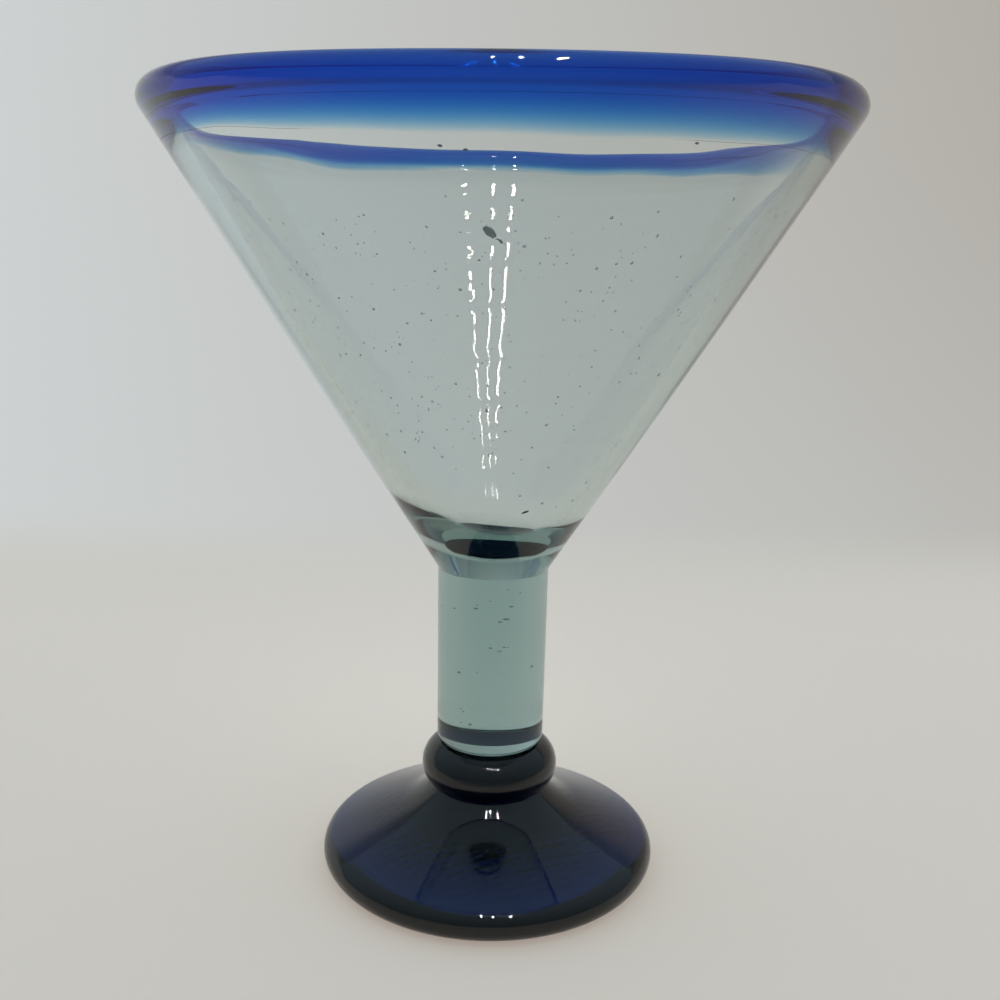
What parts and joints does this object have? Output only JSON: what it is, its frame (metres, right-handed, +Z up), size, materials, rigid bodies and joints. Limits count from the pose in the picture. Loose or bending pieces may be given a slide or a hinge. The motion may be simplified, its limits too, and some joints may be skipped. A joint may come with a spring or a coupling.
{
  "type": "margarita glass",
  "caption": "Hand-blown margarita glass with a clear conical bowl, a cobalt lip, a solid clear stem and a domed cobalt foot.",
  "frame": {"origin": "centre of the foot's resting ring, on the table", "axes": "+Z up along the glass's axis, from the foot to the lip"},
  "size_m": [0.132, 0.132, 0.154],
  "materials": {
    "bowl": "clear blown glass, faint aqua",
    "rim_band": "cobalt blue glass, fire-polished",
    "stem": "solid clear aqua glass",
    "knop": "solid cobalt glass",
    "foot": "solid cobalt glass"
  },
  "bodies": {
    "root": {"bowl": "bowl", "rim_band": "rim_band", "stem": "stem", "knop": "knop", "foot": "foot"}
  },
  "joints": []
}
